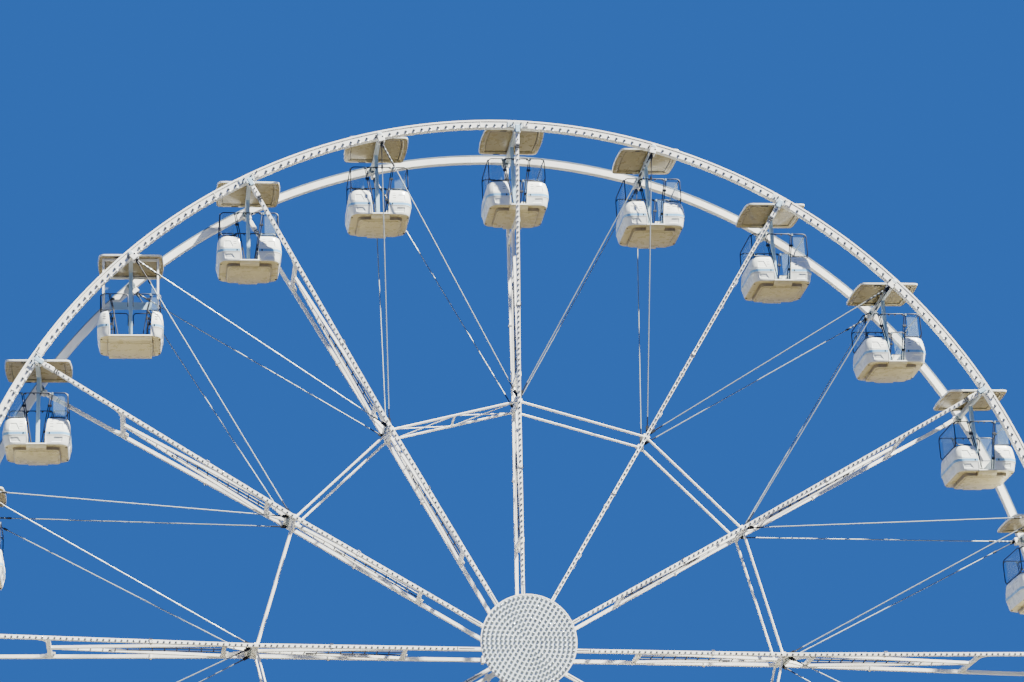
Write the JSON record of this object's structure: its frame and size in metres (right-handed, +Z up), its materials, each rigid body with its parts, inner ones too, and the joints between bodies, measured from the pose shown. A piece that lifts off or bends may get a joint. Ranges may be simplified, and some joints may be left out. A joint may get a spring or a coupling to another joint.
{
  "type": "ferris wheel",
  "caption": "Transportable ferris wheel: two rims on spoke frames with level-hanging open cabins under canopies, turning between two A-frames on a ground frame with a boarding deck.",
  "frame": {"origin": "on the ground, straight below the middle of the axle", "axes": "+X across the wheel, +Y along the axle towards the rear, +Z up; the pictured side faces -Y"},
  "size_m": [31.3246, 8.7, 33.0939],
  "materials": {
    "structure_paint": "gloss cream-white paint on steel box section",
    "frame_paint": "gloss cream-white paint on steel box section",
    "disc_paint": "satin light grey painted sheet",
    "tie_rod_steel": "galvanised steel rod",
    "cabin_shell": "white gel-coated glass fibre moulding",
    "deck_metal": "mill-finish chequer plate"
  },
  "bodies": {
    "support": {"front_a_frame": "frame_paint", "rear_a_frame": "frame_paint", "base_frame": "frame_paint", "boarding_deck": "deck_metal", "front_steps": "deck_metal", "rear_steps": "deck_metal"},
    "wheel": {"hub_drum": "structure_paint", "front_disc": "disc_paint", "rear_disc": "disc_paint", "front_rim": "structure_paint", "rear_rim": "structure_paint", "spoke_01": "structure_paint", "spoke_02": "structure_paint", "spoke_03": "structure_paint", "spoke_04": "structure_paint", "spoke_05": "structure_paint", "spoke_06": "structure_paint", "spoke_07": "structure_paint", "spoke_08": "structure_paint", "spoke_09": "structure_paint", "spoke_10": "structure_paint", "spoke_11": "structure_paint", "spoke_12": "structure_paint", "tie_rods_01": "tie_rod_steel", "tie_rods_02": "tie_rod_steel", "tie_rods_03": "tie_rod_steel", "tie_rods_04": "tie_rod_steel", "tie_rods_05": "tie_rod_steel", "tie_rods_06": "tie_rod_steel", "tie_rods_07": "tie_rod_steel", "tie_rods_08": "tie_rod_steel", "tie_rods_09": "tie_rod_steel", "tie_rods_10": "tie_rod_steel", "tie_rods_11": "tie_rod_steel", "tie_rods_12": "tie_rod_steel"},
    "cabin_01": {"cabin_01": "cabin_shell"},
    "cabin_02": {"cabin_02": "cabin_shell"},
    "cabin_03": {"cabin_03": "cabin_shell"},
    "cabin_04": {"cabin_04": "cabin_shell"},
    "cabin_05": {"cabin_05": "cabin_shell"},
    "cabin_06": {"cabin_06": "cabin_shell"},
    "cabin_07": {"cabin_07": "cabin_shell"},
    "cabin_08": {"cabin_08": "cabin_shell"},
    "cabin_09": {"cabin_09": "cabin_shell"},
    "cabin_10": {"cabin_10": "cabin_shell"},
    "cabin_11": {"cabin_11": "cabin_shell"},
    "cabin_12": {"cabin_12": "cabin_shell"},
    "cabin_13": {"cabin_13": "cabin_shell"},
    "cabin_14": {"cabin_14": "cabin_shell"},
    "cabin_15": {"cabin_15": "cabin_shell"},
    "cabin_16": {"cabin_16": "cabin_shell"},
    "cabin_17": {"cabin_17": "cabin_shell"},
    "cabin_18": {"cabin_18": "cabin_shell"},
    "cabin_19": {"cabin_19": "cabin_shell"},
    "cabin_20": {"cabin_20": "cabin_shell"},
    "cabin_21": {"cabin_21": "cabin_shell"},
    "cabin_22": {"cabin_22": "cabin_shell"},
    "cabin_23": {"cabin_23": "cabin_shell"},
    "cabin_24": {"cabin_24": "cabin_shell"}
  },
  "joints": [
    {"name": "wheel_spin", "type": "hinge", "parent": "support", "child": "wheel", "pos_m": [0, 0, 18.1], "axis": [0, 1, 0], "continuous": true},
    {"name": "cabin_01_hang", "type": "hinge", "parent": "wheel", "child": "cabin_01", "pos_m": [14.77729, 0, 17.6227], "axis": [0, 1, 0], "continuous": true},
    {"name": "cabin_02_hang", "type": "hinge", "parent": "wheel", "child": "cabin_02", "pos_m": [14.4606, 0, 21.47839], "axis": [0, 1, 0], "continuous": true},
    {"name": "cabin_03_hang", "type": "hinge", "parent": "wheel", "child": "cabin_03", "pos_m": [13.03616, 0, 25.07529], "axis": [0, 1, 0], "continuous": true},
    {"name": "cabin_04_hang", "type": "hinge", "parent": "wheel", "child": "cabin_04", "pos_m": [10.83405, 0, 28.25607], "axis": [0, 1, 0], "continuous": true},
    {"name": "cabin_05_hang", "type": "hinge", "parent": "wheel", "child": "cabin_05", "pos_m": [7.802, 0, 30.65886], "axis": [0, 1, 0], "continuous": true},
    {"name": "cabin_06_hang", "type": "hinge", "parent": "wheel", "child": "cabin_06", "pos_m": [4.30453, 0, 32.31244], "axis": [0, 1, 0], "continuous": true},
    {"name": "cabin_07_hang", "type": "hinge", "parent": "wheel", "child": "cabin_07", "pos_m": [0.4773, 0, 32.87729], "axis": [0, 1, 0], "continuous": true},
    {"name": "cabin_08_hang", "type": "hinge", "parent": "wheel", "child": "cabin_08", "pos_m": [-3.37839, 0, 32.5606], "axis": [0, 1, 0], "continuous": true},
    {"name": "cabin_09_hang", "type": "hinge", "parent": "wheel", "child": "cabin_09", "pos_m": [-6.97529, 0, 31.13616], "axis": [0, 1, 0], "continuous": true},
    {"name": "cabin_10_hang", "type": "hinge", "parent": "wheel", "child": "cabin_10", "pos_m": [-10.15607, 0, 28.93405], "axis": [0, 1, 0], "continuous": true},
    {"name": "cabin_11_hang", "type": "hinge", "parent": "wheel", "child": "cabin_11", "pos_m": [-12.55886, 0, 25.902], "axis": [0, 1, 0], "continuous": true},
    {"name": "cabin_12_hang", "type": "hinge", "parent": "wheel", "child": "cabin_12", "pos_m": [-14.21244, 0, 22.40453], "axis": [0, 1, 0], "continuous": true},
    {"name": "cabin_13_hang", "type": "hinge", "parent": "wheel", "child": "cabin_13", "pos_m": [-14.77729, 0, 18.5773], "axis": [0, 1, 0], "continuous": true},
    {"name": "cabin_14_hang", "type": "hinge", "parent": "wheel", "child": "cabin_14", "pos_m": [-14.4606, 0, 14.72161], "axis": [0, 1, 0], "continuous": true},
    {"name": "cabin_15_hang", "type": "hinge", "parent": "wheel", "child": "cabin_15", "pos_m": [-13.03616, 0, 11.12471], "axis": [0, 1, 0], "continuous": true},
    {"name": "cabin_16_hang", "type": "hinge", "parent": "wheel", "child": "cabin_16", "pos_m": [-10.83405, 0, 7.94393], "axis": [0, 1, 0], "continuous": true},
    {"name": "cabin_17_hang", "type": "hinge", "parent": "wheel", "child": "cabin_17", "pos_m": [-7.802, 0, 5.54114], "axis": [0, 1, 0], "continuous": true},
    {"name": "cabin_18_hang", "type": "hinge", "parent": "wheel", "child": "cabin_18", "pos_m": [-4.30453, 0, 3.88756], "axis": [0, 1, 0], "continuous": true},
    {"name": "cabin_19_hang", "type": "hinge", "parent": "wheel", "child": "cabin_19", "pos_m": [-0.4773, 0, 3.32271], "axis": [0, 1, 0], "continuous": true},
    {"name": "cabin_20_hang", "type": "hinge", "parent": "wheel", "child": "cabin_20", "pos_m": [3.37839, 0, 3.6394], "axis": [0, 1, 0], "continuous": true},
    {"name": "cabin_21_hang", "type": "hinge", "parent": "wheel", "child": "cabin_21", "pos_m": [6.97529, 0, 5.06384], "axis": [0, 1, 0], "continuous": true},
    {"name": "cabin_22_hang", "type": "hinge", "parent": "wheel", "child": "cabin_22", "pos_m": [10.15607, 0, 7.26595], "axis": [0, 1, 0], "continuous": true},
    {"name": "cabin_23_hang", "type": "hinge", "parent": "wheel", "child": "cabin_23", "pos_m": [12.55886, 0, 10.298], "axis": [0, 1, 0], "continuous": true},
    {"name": "cabin_24_hang", "type": "hinge", "parent": "wheel", "child": "cabin_24", "pos_m": [14.21244, 0, 13.79547], "axis": [0, 1, 0], "continuous": true}
  ],
  "couplings": [
    {"joint": "cabin_01_hang", "follows": "wheel_spin", "ratio": -1},
    {"joint": "cabin_02_hang", "follows": "wheel_spin", "ratio": -1},
    {"joint": "cabin_03_hang", "follows": "wheel_spin", "ratio": -1},
    {"joint": "cabin_04_hang", "follows": "wheel_spin", "ratio": -1},
    {"joint": "cabin_05_hang", "follows": "wheel_spin", "ratio": -1},
    {"joint": "cabin_06_hang", "follows": "wheel_spin", "ratio": -1},
    {"joint": "cabin_07_hang", "follows": "wheel_spin", "ratio": -1},
    {"joint": "cabin_08_hang", "follows": "wheel_spin", "ratio": -1},
    {"joint": "cabin_09_hang", "follows": "wheel_spin", "ratio": -1},
    {"joint": "cabin_10_hang", "follows": "wheel_spin", "ratio": -1},
    {"joint": "cabin_11_hang", "follows": "wheel_spin", "ratio": -1},
    {"joint": "cabin_12_hang", "follows": "wheel_spin", "ratio": -1},
    {"joint": "cabin_13_hang", "follows": "wheel_spin", "ratio": -1},
    {"joint": "cabin_14_hang", "follows": "wheel_spin", "ratio": -1},
    {"joint": "cabin_15_hang", "follows": "wheel_spin", "ratio": -1},
    {"joint": "cabin_16_hang", "follows": "wheel_spin", "ratio": -1},
    {"joint": "cabin_17_hang", "follows": "wheel_spin", "ratio": -1},
    {"joint": "cabin_18_hang", "follows": "wheel_spin", "ratio": -1},
    {"joint": "cabin_19_hang", "follows": "wheel_spin", "ratio": -1},
    {"joint": "cabin_20_hang", "follows": "wheel_spin", "ratio": -1},
    {"joint": "cabin_21_hang", "follows": "wheel_spin", "ratio": -1},
    {"joint": "cabin_22_hang", "follows": "wheel_spin", "ratio": -1},
    {"joint": "cabin_23_hang", "follows": "wheel_spin", "ratio": -1},
    {"joint": "cabin_24_hang", "follows": "wheel_spin", "ratio": -1}
  ]
}
